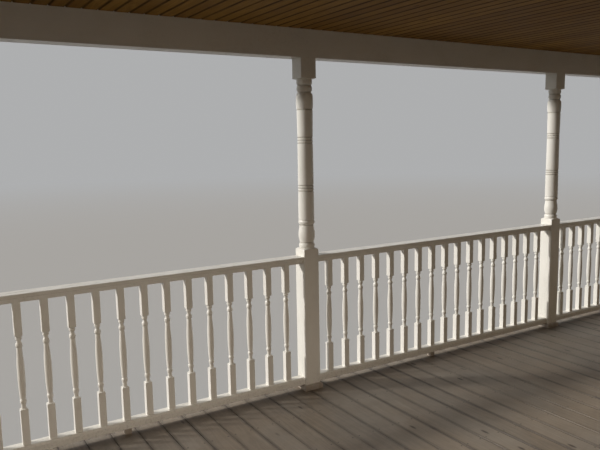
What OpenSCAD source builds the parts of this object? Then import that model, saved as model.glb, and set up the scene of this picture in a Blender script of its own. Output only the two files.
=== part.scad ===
// Covered front porch of painted wood: turned posts and balusters, boarded floor and
// ceiling, boxed beam and a lean-to roof. The house wall it leans on is the plane at +Y.
// Millimetres. +Z up, +Y towards the house, origin at the middle of the footprint on the ground.

/* [Overall] */
// Distance between the centres of two front posts
bay_w = 2438; // [1900:1:3000]
// Depth of the floor, from its front edge to the house wall
porch_depth = 3660; // [2800:10:4600]
// Height of the floor above the ground
floor_h = 610; // [400:10:1200]
// Clear height from the floor to the underside of the beam
head_h = 2128; // [2000:1:2600]

/* [Posts] */
// Side of the square post
post_w = 108; // [104:1:140]
// Height of the square block at the foot of a post
base_block_h = 918; // [912:1:1050]
// Height of the square block under the beam
top_block_h = 114; // [90:1:160]
// Height of the moulding round the foot
foot_h = 36; // [28:1:37]
// How far the foot moulding stands out
foot_out = 12; // [8:1:20]

/* [Post turning] */
// Length of the rounded shoulder where square turns to round
post_shoulder = 20; // [10:1:30]
// Diameter of the shaft at both of its ends
shaft_end_d = 102; // [90:1:104]
// Diameter of the shaft at its slimmest
shaft_slim_d = 98; // [80:1:100]
// Diameter of the bulbs at both ends of the shaft
bulb_d = 107; // [98:1:108]
// Height of the lower bulb
low_bulb_h = 98; // [80:1:115]
// Height of the upper bulb
high_bulb_h = 76; // [60:1:90]
// Diameter of the beads beside the bulbs
bead_d = 98; // [92:1:104]
// Height of a bead
bead_h = 28; // [20:1:34]
// Height of the sharp ring over the lower bulb
ring_h = 24; // [18:1:30]
// Height of the small bead under the upper coves
small_bead_h = 11; // [8:1:15]
// Height of a cove between two members
cove_h = 10; // [6:1:13]
// Diameter where the coves begin
cove_d = 88; // [80:1:91]
// How deep the coves sink
cove_sink = 4; // [2:0.5:6]
// Depth of the turned grooves
groove_d = 3; // [1:0.5:4]
// Width of one turned groove
groove_w = 8; // [5:1:12]
// Distance between the grooves of a group
groove_pitch = 18; // [14:1:25]
// Place where the lower bulb is fullest, as a share of its height
bulb_full_at = 0.4; // [0.3:0.05:0.6]
// Place of the lower group of grooves, as a share of the shaft
low_grooves_at = 0.29; // [0.25:0.01:0.35]
// Place of the upper group of grooves, as a share of the shaft
high_grooves_at = 0.725; // [0.65:0.005:0.75]

/* [Railing] */
// Height of the railing above the floor
rail_h = 888; // [800:1:905]
// Width of the moulded cap rail, a little less than the post's side
cap_w = 104; // [80:1:104]
// Thickness of the cap's nosing
cap_t = 21; // [18:1:26]
// Radius of the cap's rounded edges
cap_r = 7; // [4:1:8]
// Width of the fillet under the cap
fillet_w = 64; // [50:1:70]
// Height of the fillet under the cap
fillet_h = 24; // [14:1:30]
// Width of the bottom rail
foot_rail_w = 70; // [60:1:80]
// Height of the bottom rail
foot_rail_h = 44; // [36:1:50]
// Width of the sloped edges on top of the bottom rail
foot_rail_bevel = 8; // [4:1:9]
// Height of the sloped edges on top of the bottom rail
foot_rail_slope = 12; // [6:1:16]
// Gap between the floor and the bottom rail
rail_gap = 38; // [38:1:100]
// Side of a square baluster
baluster_w = 38; // [32:1:44]
// Widest gap allowed between two balusters
baluster_gap_max = 95; // [80:1:110]
// How many balusters off the middle the block under the middle rail stands
block_shift = 1; // [0:1:4]

/* [Baluster turning] */
// Length of the square part at the foot of a baluster
baluster_foot = 185; // [150:1:210]
// Length of the square part at the head of a baluster
baluster_head = 173; // [150:1:210]
// Length of the rounded shoulder where square turns to round
baluster_shoulder = 8; // [5:1:12]
// Diameter of the vase at its fullest
vase_d = 37; // [29:1:37]
// Diameter of the vase at its foot
vase_foot_d = 33; // [27:1:35]
// Diameter of the neck over the vase
neck_d = 24; // [18:1:26]
// Place where the vase is fullest, as a share of its height
vase_full_at = 0.46; // [0.3:0.01:0.55]
// Diameter of the bead over the neck
neck_bead_d = 31; // [28:1:36]
// Height of the bead over the neck
neck_bead_h = 40; // [30:1:46]
// Diameter of the rings next to the square ends
end_ring_d = 34; // [30:1:37]
// Height of the ring next to the upper square end
high_ring_h = 20; // [15:1:25]
// Height of the ring next to the lower square end
low_ring_h = 24; // [18:1:30]
// Height of a cove of the baluster
small_cove_h = 12; // [8:1:15]

/* [Beam and ceiling] */
// Thickness of the boards that box the beam
casing_t = 19; // [15:1:25]
// Height of the timber inside the beam
beam_h = 184; // [180:1:235]
// Height of the beam's face that shows below the ceiling
beam_face = 170; // [150:1:172]
// Thickness of the ceiling boards
ceiling_t = 12; // [9:1:16]
// Width of the battens above the ceiling boards
batten_w = 64; // [40:1:90]
// Widest distance between two battens
batten_gap_max = 600; // [400:10:700]
// Height of the ceiling joists
ceiling_joist_h = 89; // [70:1:100]

/* [Roof] */
// Slope of the roof in degrees
roof_slope = 14; // [9:0.5:25]
// Thickness of joists and rafters
timber_t = 38; // [35:1:50]
// Height of a rafter, across its length
rafter_h = 140; // [130:1:190]
// Length of the rafter's seat on the beam
seat_w = 89; // [60:1:94]
// Widest distance between two rafters
rafter_gap_max = 620; // [400:10:700]
// Thickness of the roof covering with its boards
roof_t = 22; // [16:1:35]
// Overhang of the rafters in front of the beam
eave = 300; // [200:10:500]
// Overhang of the roof past each end wall
rake = 200; // [120:10:350]
// Thickness of the fascia and of the barge boards
trim_t = 25; // [19:1:32]
// How far the roof covering runs past the fascia
drip = 20; // [10:1:30]
// How far the fascia hangs below the soffit
fascia_drop = 12; // [5:1:25]
// Thickness of the soffit board
soffit_t = 12; // [9:1:16]
// Height of the barge boards, across their length
barge_h = 165; // [120:1:200]
// Height of the ledger that carries the rafters on the wall
roof_ledger_h = 235; // [180:5:300]

/* [Floor framing] */
// Thickness of the floor boards
floor_t = 25; // [19:1:32]
// How far the floor runs past the skirt boards
nosing = 25; // [15:1:40]
// Thickness of the skirt boards
skirt_t = 38; // [25:1:50]
// Width of a girder
girder_w = 76; // [60:1:90]
// Height of girders, skirt boards and the floor's ledger
girder_h = 235; // [200:1:290]
// Height of the floor joists
floor_joist_h = 184; // [140:1:200]
// Widest distance between two floor joists
floor_joist_gap_max = 410; // [300:10:500]
// Side of a square pier
pier_w = 240; // [200:5:300]

/* [Hidden] */
$fn = 64;
bay_count = 3;

// A little extra length, so that a cut runs clear through
clear_cut = 5;

// Places across the porch, along X
line_x = bay_count * bay_w / 2;
post_half = post_w / 2;
edge_out = girder_w / 2 + skirt_t + nosing;
floor_x = line_x + edge_out;
core_w = post_w - 2 * casing_t;
frame_x = line_x + core_w / 2;
roof_x = line_x + post_half + rake;

// Places from front to back, along Y
depth_all = porch_depth - edge_out + post_half + eave + trim_t + drip;
wall_y = depth_all / 2;
front_y = wall_y - porch_depth;
post_y = front_y + edge_out;
side_post_y = (post_y + wall_y) / 2;
beam_front_y = post_y - post_half;
beam_back_y = post_y + post_half;
tail_y = beam_front_y - eave;
roof_front_y = tail_y - trim_t - drip;
ledger_y = wall_y - timber_t;

// Heights, along Z
girder_top = floor_h - floor_t;
girder_z = girder_top - girder_h;
head_z = floor_h + head_h;
core_z = head_z + casing_t;
beam_top = core_z + beam_h;
ceiling_z = head_z + beam_face;
batten_z = ceiling_z + ceiling_t;
foot_rail_z = floor_h + rail_gap;
baluster_z = foot_rail_z + foot_rail_h;
cap_z = floor_h + rail_h - cap_t;
fillet_z = cap_z - fillet_h;
baluster_h = fillet_z - baluster_z;

// The rafters' underside and upper edge, and the roof's surface, at a place y
function under_z(y) = beam_top + (y - beam_front_y - seat_w) * tan(roof_slope);
function rafter_z(y) = under_z(y) + rafter_h / cos(roof_slope);
function roof_z(y) = rafter_z(y) + roof_t / cos(roof_slope);

// Height of the level cut at a rafter's tail, where the soffit board is nailed
tail_cut = 12;
soffit_z = under_z(tail_y) + tail_cut;

// Front posts stand at the bay lines
function post_x(i) = (i - bay_count / 2) * bay_w;

// Number of equal spaces no wider than the gap that is allowed
function spaces(length, gap_max) = ceil(length / gap_max);
function baluster_count(clear) =
    ceil((clear - baluster_gap_max) / (baluster_w + baluster_gap_max));
function baluster_pitch(clear) =
    (clear - baluster_count(clear) * baluster_w) / (baluster_count(clear) + 1) + baluster_w;

// Sets a flat profile along X: its x runs along Y and its y runs up
module along_x(from, to) {
    translate([from, 0, 0]) rotate([90, 0, 90]) linear_extrude(to - from) children();
}

// Sets a flat profile along Y: its x runs along X and its y runs up
module along_y(from, to) {
    translate([0, to, 0]) rotate([90, 0, 0]) linear_extrude(to - from) children();
}

// A block from its low corner to its high corner
module block(low, high) {
    translate(low) cube(high - low);
}

// Both ends of the porch alike
module both_ends() {
    children();
    mirror([1, 0, 0]) children();
}

// Turned work

// Half an ellipse that swells from radius r between two heights, or sinks for a cove
function swell(low, high, r, out, steps) = [
    for (k = [0 : steps])
        [r + out * sin(180 * k / steps), low + (high - low) * (1 - cos(180 * k / steps)) / 2]
];

// A vase or bulb: it rises from its foot to its fullest and draws in to its neck
function vase(low, high, foot_r, full_r, neck_r, full_at, steps) = [
    for (k = [0 : steps]) let (t = k / steps) [
        t < full_at
            ? foot_r + (full_r - foot_r) * sin(90 * t / full_at)
            : neck_r + (full_r - neck_r) * (1 + cos(180 * (t - full_at) / (1 - full_at))) / 2,
        low + (high - low) * t
    ]
];

// A V groove of the turned shaft at height z
function groove(z, r) = [[r, z - groove_w / 2], [r - groove_d, z], [r, z + groove_w / 2]];

// Three grooves side by side
function groove_group(z, r) = concat(
    groove(z - groove_pitch, r), groove(z, r), groove(z + groove_pitch, r)
);

// The shoulder that the lathe leaves between a square block and the round shaft,
// as a quarter turn from the corner radius down to radius r
function shoulder(z, length, corner, r, steps) = [
    for (k = [0 : steps])
        [r + (corner - r) * cos(90 * k / steps), z + length * sin(90 * k / steps)]
];
function upside_down(points, top) = [
    for (k = [len(points) - 1 : -1 : 0]) [points[k][0], top - points[k][1]]
];

// A radius beyond the corners of a square, so that the turning leaves them whole
function corner_of(side) = side * 0.75;

// Height of the small flat step between two turned members
step_h = 2;

shaft_r = shaft_end_d / 2;
slim_r = shaft_slim_d / 2;
bulb_r = bulb_d / 2;
bead_r = bead_d / 2;
cove_r = cove_d / 2;
ring_r = (shaft_end_d + bulb_d) / 4;
post_corner = corner_of(post_w);

// Heights above the lower shoulder's start, each from the top of the member below it
low_bead_z = post_shoulder + step_h;
low_cove_z = low_bead_z + bead_h + step_h;
low_bulb_z = low_cove_z + cove_h + step_h;
high_cove_z = low_bulb_z + low_bulb_h + step_h;
ring_z = high_cove_z + cove_h + step_h;
shaft_low_z = ring_z + ring_h + 2 * step_h;

// Depths below the upper shoulder's start, each from the foot of the member above it
neck_cove_z = post_shoulder + cove_h + step_h;
top_bead_z = neck_cove_z + cove_h + step_h;
top_cove_z = top_bead_z + bead_h + step_h;
small_bead_z = top_cove_z + cove_h + step_h;
high_bulb_z = small_bead_z + small_bead_h + step_h;
high_groove_z = high_bulb_z + high_bulb_h + groove_w;
shaft_high_z = high_groove_z + 2 * groove_w;

// Outline of a turned post from its foot to its top
function post_outline(h) = let (
    low = base_block_h,
    high = h - top_block_h,
    shaft = high - shaft_high_z - low - shaft_low_z
) concat(
    [[0, 0], [post_corner, 0], [post_corner, low]],
    shoulder(low, post_shoulder, post_corner, cove_r, 4),
    swell(low + low_bead_z, low + low_bead_z + bead_h, cove_r, bead_r - cove_r, 6),
    swell(low + low_cove_z, low + low_cove_z + cove_h, cove_r, -cove_sink, 4),
    vase(low + low_bulb_z, low + low_bulb_z + low_bulb_h,
        cove_r, bulb_r, cove_r, bulb_full_at, 10),
    swell(low + high_cove_z, low + high_cove_z + cove_h, cove_r, -cove_sink / 2, 4),
    swell(low + ring_z, low + ring_z + ring_h, cove_r, ring_r - cove_r, 4),
    [[shaft_r, low + shaft_low_z]],
    groove_group(low + shaft_low_z + shaft * low_grooves_at, (shaft_r + slim_r) / 2),
    groove_group(low + shaft_low_z + shaft * high_grooves_at, slim_r),
    groove(high - high_groove_z - groove_w - step_h, shaft_r),
    groove(high - high_groove_z, shaft_r),
    swell(high - high_bulb_z - high_bulb_h, high - high_bulb_z, shaft_r, bulb_r - shaft_r, 6),
    swell(high - small_bead_z - small_bead_h, high - small_bead_z, cove_r, bead_r - cove_r, 4),
    swell(high - top_cove_z - cove_h, high - top_cove_z, cove_r, -cove_sink, 4),
    swell(high - top_bead_z - bead_h, high - top_bead_z, cove_r, bead_r - cove_r, 6),
    swell(high - neck_cove_z - cove_h, high - neck_cove_z, cove_r, -cove_sink, 4),
    upside_down(shoulder(0, post_shoulder, post_corner, cove_r, 4), high),
    [[post_corner, high], [post_corner, h], [0, h]]
);

// Moulding round the foot, mitred at the corners: a square step under a round
module foot_profile() {
    reach = post_half + foot_out;
    square([2 * reach, foot_h - foot_out]);
    translate([foot_out, 0]) square([post_w, foot_h]);
    for (x = [foot_out, foot_out + post_w])
        translate([x, foot_h - foot_out]) circle(foot_out);
}

module foot_moulding() {
    reach = post_half + foot_out;
    intersection() {
        along_x(-reach, reach) translate([-reach, 0]) foot_profile();
        along_y(-reach, reach) translate([-reach, 0]) foot_profile();
    }
}

// A post turned from a square timber, standing on its foot at the origin
module turned_post() {
    color("whitesmoke") {
        intersection() {
            translate([-post_half, -post_half, 0]) cube([post_w, post_w, head_h]);
            rotate_extrude() polygon(post_outline(head_h));
        }
        foot_moulding();
    }
}

module front_post(i) {
    translate([post_x(i), post_y, floor_h]) turned_post();
}

module side_post(side) {
    translate([side * line_x, side_post_y, floor_h]) turned_post();
}

// A post split down the middle, flat side against the house
module wall_post(side) {
    translate([side * line_x, wall_y, floor_h]) intersection() {
        turned_post();
        translate([-post_w, -post_w, -clear_cut]) cube([2 * post_w, post_w, head_h + 2 * clear_cut]);
    }
}

baluster_corner = corner_of(baluster_w);
end_ring_r = end_ring_d / 2;
neck_r = neck_d / 2;

// Radius at the coves, a little more than the neck's
small_cove_r = neck_r + 1;
small_step_h = 1;

// Heights above the lower square end, and depths below the upper one
low_ring_z = baluster_shoulder + small_cove_h;
vase_low_z = low_ring_z + low_ring_h + small_cove_h;
high_ring_z = baluster_shoulder + small_cove_h;
neck_bead_z = high_ring_z + high_ring_h + small_cove_h;
vase_high_z = neck_bead_z + neck_bead_h + small_step_h;

// Outline of a turned baluster from its foot to its top
function baluster_outline(h) = let (
    low = baluster_foot,
    high = h - baluster_head
) concat(
    [[0, 0], [baluster_corner, 0], [baluster_corner, low]],
    shoulder(low, baluster_shoulder, baluster_corner, small_cove_r, 3),
    swell(low + low_ring_z, low + low_ring_z + low_ring_h,
        small_cove_r, end_ring_r - small_cove_r, 6),
    [[small_cove_r, low + vase_low_z - small_step_h]],
    vase(low + vase_low_z, high - vase_high_z,
        vase_foot_d / 2, vase_d / 2, neck_r, vase_full_at, 12),
    swell(high - neck_bead_z - neck_bead_h, high - neck_bead_z,
        neck_r, neck_bead_d / 2 - neck_r, 6),
    swell(high - high_ring_z - high_ring_h, high - high_ring_z,
        small_cove_r, end_ring_r - small_cove_r, 6),
    upside_down(shoulder(0, baluster_shoulder, baluster_corner, small_cove_r, 3), high),
    [[baluster_corner, high], [baluster_corner, h], [0, h]]
);

module baluster() {
    intersection() {
        translate([-baluster_w / 2, -baluster_w / 2, 0])
            cube([baluster_w, baluster_w, baluster_h]);
        rotate_extrude() polygon(baluster_outline(baluster_h));
    }
}

// Balusters with equal gaps between two posts, centred on the origin along X
module baluster_row(clear) {
    count = baluster_count(clear);
    for (k = [0 : count - 1])
        translate([(k - (count - 1) / 2) * baluster_pitch(clear), 0, baluster_z]) baluster();
}

// Railings

// Cap rail: rounded nosing over a narrower fillet
module top_rail_profile() {
    translate([-fillet_w / 2, fillet_z]) square([fillet_w, fillet_h + cap_t / 2]);
    translate([-cap_w / 2 + cap_r, cap_z]) square([cap_w - 2 * cap_r, cap_t]);
    translate([-cap_w / 2, cap_z + cap_r]) square([cap_w, cap_t - 2 * cap_r]);
    for (x = [-1, 1], z = [cap_r, cap_t - cap_r])
        translate([x * (cap_w / 2 - cap_r), cap_z + z]) circle(cap_r);
}

// Bottom rail: sloped upper edges that shed the rain
module bottom_rail_profile() {
    half = foot_rail_w / 2;
    top = foot_rail_z + foot_rail_h;
    edge = top - foot_rail_slope;
    polygon([
        [-half, foot_rail_z], [half, foot_rail_z],
        [half, edge], [half - foot_rail_bevel, top],
        [-half + foot_rail_bevel, top], [-half, edge]
    ]);
}

front_clear = bay_w - post_w;
side_clear = (wall_y - post_y) / 2 - post_w;

// Middle of the two openings on a side, from front to back
side_bays = [
    (post_y + side_post_y) / 2,
    (side_post_y + wall_y) / 2
];

module top_rail(bay) {
    mid = post_x(bay - 0.5);
    color("white") translate([0, post_y, 0])
        along_x(mid - front_clear / 2, mid + front_clear / 2) top_rail_profile();
}

module bottom_rail(bay) {
    mid = post_x(bay - 0.5);
    color("white") translate([0, post_y, 0])
        along_x(mid - front_clear / 2, mid + front_clear / 2) bottom_rail_profile();
}

module balusters(bay) {
    color("white") translate([post_x(bay - 0.5), post_y, 0]) baluster_row(front_clear);
}

module side_top_rails(side) {
    color("white") translate([side * line_x, 0, 0])
        for (y = side_bays)
            along_y(y - side_clear / 2, y + side_clear / 2) top_rail_profile();
}

module side_bottom_rails(side) {
    color("white") translate([side * line_x, 0, 0])
        for (y = side_bays)
            along_y(y - side_clear / 2, y + side_clear / 2) bottom_rail_profile();
}

module side_balusters(side) {
    color("white")
        for (y = side_bays)
            translate([side * line_x, y, 0]) rotate([0, 0, 90]) baluster_row(side_clear);
}

// Small square blocks that hold up each bottom rail at or near its middle
module rail_block() {
    translate([-baluster_w / 2, -baluster_w / 2, floor_h])
        cube([baluster_w, baluster_w, rail_gap]);
}

module rail_blocks() {
    mid = (bay_count - 1) / 2;
    shift = block_shift * baluster_pitch(front_clear);
    color("white") {
        for (bay = [0 : bay_count - 1])
            translate([post_x(bay + 0.5) + (bay == mid ? shift : 0), post_y, 0]) rail_block();
        both_ends() for (y = side_bays) translate([line_x, y, 0]) rail_block();
    }
}

// Floor and what carries it

girder_back_y = wall_y - timber_t;
skirt_front_y = post_y - girder_w / 2 - skirt_t;
skirt_back_y = skirt_front_y + skirt_t;

module floor() {
    color("burlywood") block([-floor_x, front_y, girder_top], [floor_x, wall_y, floor_h]);
}

module front_skirt() {
    half = floor_x - nosing;
    color("white")
        block([-half, skirt_front_y, girder_z], [half, skirt_back_y, girder_top]);
}

module end_skirts() {
    color("white") both_ends() block(
        [floor_x - nosing - skirt_t, skirt_back_y, girder_z],
        [floor_x - nosing, wall_y, girder_top]
    );
}

module floor_ledger() {
    half = line_x + girder_w / 2;
    color("tan") block([-half, girder_back_y, girder_z], [half, wall_y, girder_top]);
}

module girders() {
    color("tan") for (i = [0 : bay_count]) block(
        [post_x(i) - girder_w / 2, skirt_back_y, girder_z],
        [post_x(i) + girder_w / 2, girder_back_y, girder_top]
    );
}

module floor_joists() {
    span = girder_back_y - skirt_back_y;
    count = spaces(span, floor_joist_gap_max);
    color("tan")
        for (bay = [0 : bay_count - 1], k = [1 : count - 1])
            translate([post_x(bay) + girder_w / 2, skirt_back_y + span * k / count, girder_top])
                translate([0, -timber_t / 2, -floor_joist_h])
                    cube([bay_w - girder_w, timber_t, floor_joist_h]);
}

// Piers are flush with the skirt boards outside and stand under the posts
pier_shift = (pier_w - girder_w) / 2 - skirt_t;
pier_rows = [
    skirt_front_y + pier_w / 2,
    side_post_y,
    girder_back_y - pier_w / 2
];

module piers() {
    color("gray")
        for (i = [0 : bay_count], y = pier_rows) {
            x = i == 0 ? post_x(i) + pier_shift : i == bay_count ? post_x(i) - pier_shift : post_x(i);
            block([x - pier_w / 2, y - pier_w / 2, 0], [x + pier_w / 2, y + pier_w / 2, girder_z]);
        }
}

// Beam and ceiling

module front_beam() {
    color("tan") block(
        [-frame_x, post_y - core_w / 2, core_z], [frame_x, post_y + core_w / 2, beam_top]
    );
}

module side_beams() {
    color("tan") both_ends() block(
        [line_x - core_w / 2, post_y + core_w / 2, core_z], [frame_x, wall_y, beam_top]
    );
}

// Three boards round the beam's timber, mitred at the corners of the porch
module front_casing() {
    out = line_x + post_half;
    in = line_x - post_half;
    color("white") difference() {
        translate([0, 0, head_z]) linear_extrude(casing_t + beam_h) polygon([
            [-out, beam_front_y], [out, beam_front_y], [in, beam_back_y], [-in, beam_back_y]
        ]);
        block(
            [-out, post_y - core_w / 2, core_z], [out, post_y + core_w / 2, beam_top + clear_cut]
        );
    }
}

module side_casings() {
    out = line_x + post_half;
    in = line_x - post_half;
    color("white") both_ends() difference() {
        translate([0, 0, head_z]) linear_extrude(casing_t + beam_h) polygon([
            [out, beam_front_y], [out, wall_y], [in, wall_y], [in, beam_back_y]
        ]);
        block(
            [line_x - core_w / 2, beam_front_y, core_z],
            [frame_x, wall_y + clear_cut, beam_top + clear_cut]
        );
    }
}

ceiling_x = line_x - post_half;

module ceiling() {
    color("peru") block([-ceiling_x, beam_back_y, ceiling_z], [ceiling_x, wall_y, batten_z]);
}

module ceiling_battens() {
    span = wall_y - beam_back_y - batten_w;
    count = spaces(span, batten_gap_max);
    color("tan")
        for (k = [0 : count])
            translate([-ceiling_x, beam_back_y + span * k / count, batten_z])
                cube([2 * ceiling_x, batten_w, beam_top - batten_z]);
}

// Rafters stand at equal distances, the outer ones flush with the beam's timber
rafter_span = 2 * frame_x - timber_t;
rafter_count = spaces(rafter_span, rafter_gap_max);
function rafter_x(k) = -rafter_span / 2 + rafter_span * k / rafter_count;

// Each joist lies beside its rafter, on the side nearer the middle
function joist_x(k) = rafter_x(k) + (rafter_x(k) < 0 ? timber_t : -timber_t);

module ceiling_joists() {
    color("tan") for (k = [0 : rafter_count]) block(
        [joist_x(k) - timber_t / 2, beam_front_y + casing_t, beam_top],
        [joist_x(k) + timber_t / 2, ledger_y, beam_top + ceiling_joist_h]
    );
}

// Roof

// A rafter with its seat on the beam and its tail cut plumb and level
module rafter_profile() {
    seat_y = beam_front_y + seat_w;
    level_y = tail_y + tail_cut / tan(roof_slope);
    polygon([
        [tail_y, soffit_z], [level_y, soffit_z],
        [beam_front_y, under_z(beam_front_y)], [beam_front_y, beam_top],
        [seat_y, beam_top], [ledger_y, under_z(ledger_y)],
        [ledger_y, rafter_z(ledger_y)], [tail_y, rafter_z(tail_y)]
    ]);
}

module rafters() {
    color("tan") for (k = [0 : rafter_count])
        along_x(rafter_x(k) - timber_t / 2, rafter_x(k) + timber_t / 2) rafter_profile();
}

// The upper ledger follows the roof, the lower one carries the ceiling joists
module roof_ledgers() {
    color("tan") {
        along_x(-frame_x, frame_x) polygon([
            [ledger_y, rafter_z(ledger_y) - roof_ledger_h],
            [wall_y, rafter_z(ledger_y) - roof_ledger_h],
            [wall_y, rafter_z(wall_y)], [ledger_y, rafter_z(ledger_y)]
        ]);
        block([-frame_x, ledger_y, beam_top], [frame_x, wall_y, beam_top + ceiling_joist_h]);
    }
}

module roof() {
    color("dimgray") along_x(-roof_x, roof_x) polygon([
        [roof_front_y, rafter_z(roof_front_y)], [wall_y, rafter_z(wall_y)],
        [wall_y, roof_z(wall_y)], [roof_front_y, roof_z(roof_front_y)]
    ]);
}

fascia_y = tail_y - trim_t;
fascia_z = soffit_z - soffit_t - fascia_drop;

module fascia() {
    color("white") along_x(-roof_x, roof_x) polygon([
        [fascia_y, fascia_z], [tail_y, fascia_z],
        [tail_y, rafter_z(tail_y)], [fascia_y, rafter_z(fascia_y)]
    ]);
}

// Barge boards hang under the roof's ends, from the fascia to the wall
module barge_boards() {
    depth = barge_h / cos(roof_slope);
    color("white") both_ends() along_x(roof_x - trim_t, roof_x) polygon([
        [tail_y, rafter_z(tail_y) - depth], [wall_y, rafter_z(wall_y) - depth],
        [wall_y, rafter_z(wall_y)], [tail_y, rafter_z(tail_y)]
    ]);
}

module soffit() {
    half = line_x + post_half;
    color("white")
        block([-half, tail_y, soffit_z - soffit_t], [half, beam_front_y, soffit_z]);
}

// Boarded ends between the beam and the roof
module gable_ends() {
    inner = frame_x;
    color("white") both_ends() along_x(inner, inner + casing_t) polygon([
        [tail_y, soffit_z], [beam_front_y, soffit_z], [beam_front_y, beam_top],
        [wall_y, beam_top], [wall_y, rafter_z(wall_y)], [tail_y, rafter_z(tail_y)]
    ]);
}

piers();
girders();
floor_joists();
front_skirt();
end_skirts();
floor_ledger();
floor();
front_post(0);  // post_1
front_post(1);  // post_2
front_post(2);  // post_3
front_post(3);  // post_4
side_post(-1);  // left_side_post
side_post(1);  // right_side_post
wall_post(-1);  // left_wall_post
wall_post(1);  // right_wall_post
top_rail(1);  // top_rail_1
top_rail(2);  // top_rail_2
top_rail(3);  // top_rail_3
bottom_rail(1);  // bottom_rail_1
bottom_rail(2);  // bottom_rail_2
bottom_rail(3);  // bottom_rail_3
balusters(1);  // balusters_1
balusters(2);  // balusters_2
balusters(3);  // balusters_3
side_top_rails(-1);  // left_top_rails
side_bottom_rails(-1);  // left_bottom_rails
side_balusters(-1);  // left_balusters
side_top_rails(1);  // right_top_rails
side_bottom_rails(1);  // right_bottom_rails
side_balusters(1);  // right_balusters
rail_blocks();
front_beam();
side_beams();
front_casing();
side_casings();
ceiling();
ceiling_battens();
ceiling_joists();
rafters();
roof_ledgers();
roof();
fascia();
barge_boards();
soffit();
gable_ends();
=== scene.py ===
# Looks of the covered front porch: boards, shingles, siding, nails and every finish.
# Metres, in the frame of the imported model: X along the front, Y towards the house, Z up.
import math
import random

import bmesh
import bpy
from mathutils import Matrix, Vector


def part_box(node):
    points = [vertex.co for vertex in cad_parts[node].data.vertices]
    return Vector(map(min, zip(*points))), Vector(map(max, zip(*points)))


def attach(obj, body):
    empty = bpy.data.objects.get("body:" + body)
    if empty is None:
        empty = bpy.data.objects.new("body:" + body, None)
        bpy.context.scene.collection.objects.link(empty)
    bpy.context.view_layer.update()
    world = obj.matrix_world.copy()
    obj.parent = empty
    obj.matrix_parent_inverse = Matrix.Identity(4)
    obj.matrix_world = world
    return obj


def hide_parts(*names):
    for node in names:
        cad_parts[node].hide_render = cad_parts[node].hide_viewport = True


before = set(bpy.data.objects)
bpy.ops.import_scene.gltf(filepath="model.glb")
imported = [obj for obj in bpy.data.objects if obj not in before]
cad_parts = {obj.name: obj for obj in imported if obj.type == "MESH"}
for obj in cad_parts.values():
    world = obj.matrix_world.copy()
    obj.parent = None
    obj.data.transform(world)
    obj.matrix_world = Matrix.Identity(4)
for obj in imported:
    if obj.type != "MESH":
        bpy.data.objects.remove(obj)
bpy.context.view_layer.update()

random.seed(7)

# Slope of the roof and the thickness of its covering with the boards, as the porch is built
ROOF_SLOPE = math.radians(14)
ROOF_THICK = 0.022
UP_SLOPE = Vector((0, math.cos(ROOF_SLOPE), math.sin(ROOF_SLOPE)))
OFF_SLOPE = Vector((0, -math.sin(ROOF_SLOPE), math.cos(ROOF_SLOPE)))

# Turned timbers. CORNER_REACH, a share of the side, takes an outline past the square's corners;
# WALL_CLEARANCE keeps the moulded feet off the wall; GROOVE_PLACES are shares of the shaft.
CORNER_REACH = 0.75
SHARP_ANGLE = math.radians(32)
POST_SIDE = 0.108
POST_FACETS = 32
POST_ARRIS = 0.002
FOOT_OUT = 0.012
FOOT_HEIGHT = 0.036
WALL_CLEARANCE = 0.0008
GROOVE_PITCH = 0.018
GROOVE_WIDTH = 0.009
GROOVE_DEPTH = 0.0045
GROOVE_PLACES = (0.29, 0.725)
BALUSTER_SIDE = 0.038
BALUSTER_FACETS = 16
BALUSTER_ARRIS = 0.0012
FRONT_BALUSTERS = 17
SIDE_BALUSTERS = 12

# Cap rail, piers and joists
CAP_THICK = 0.021
PIER_SIDE = 0.240
PIER_ARRIS = 0.007
JOIST_SPACES = 9

# Boards and shingles, measured on the porch. FLOOR_SEAM is where one seam lies along X; the
# UNEVEN sizes are how far laid work strays.
FLOOR_BOARD = 0.1415
FLOOR_SEAM = 0.260
FLOOR_GAP = 0.0035
FLOOR_ARRIS = 0.0025
FLOOR_NOSING = 0.008
FLOOR_UNEVEN = 0.0006
NARROWEST_BOARD = 0.01
CEILING_BOARD = 0.080
CEILING_BEVEL = 0.0055
ROOF_BOARD = 0.184
ROOF_BOARD_THICK = 0.013
ROOF_BOARD_ARRIS = 0.0012
SIDING_SHOWN = 0.100
SIDING_TAPER = 0.55
SHINGLE_SHOWN = 0.143
SHINGLE_THICK = 0.003
SHINGLE_UNEVEN = 0.0008
COURSE_UNEVEN = 0.002
TAB_WIDTH = 0.305
TAB_SLOT = 0.008

# Sizes read from the frame, and what follows from them
floor_low, floor_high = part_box("floor")
ceiling_low, ceiling_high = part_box("ceiling")
roof_low, roof_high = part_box("roof")
gable_low, gable_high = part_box("gable_ends")
girder_low, girder_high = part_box("girders")
casing_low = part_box("front_casing")[0]
floor_top = floor_high.z
wall_y = floor_high.y
post_height = casing_low.z - floor_top
joist_gap = (girder_high.y - girder_low.y) / JOIST_SPACES
ceiling_count = round((ceiling_high.x - ceiling_low.x) / CEILING_BOARD)
ceiling_pitch = (ceiling_high.x - ceiling_low.x) / ceiling_count
roof_run = (roof_high.y - roof_low.y) / math.cos(ROOF_SLOPE)


def middle_of(name):
    low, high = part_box(name)
    return (low + high) / 2


def rgba(colour):
    return (*colour, 1.0)


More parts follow.
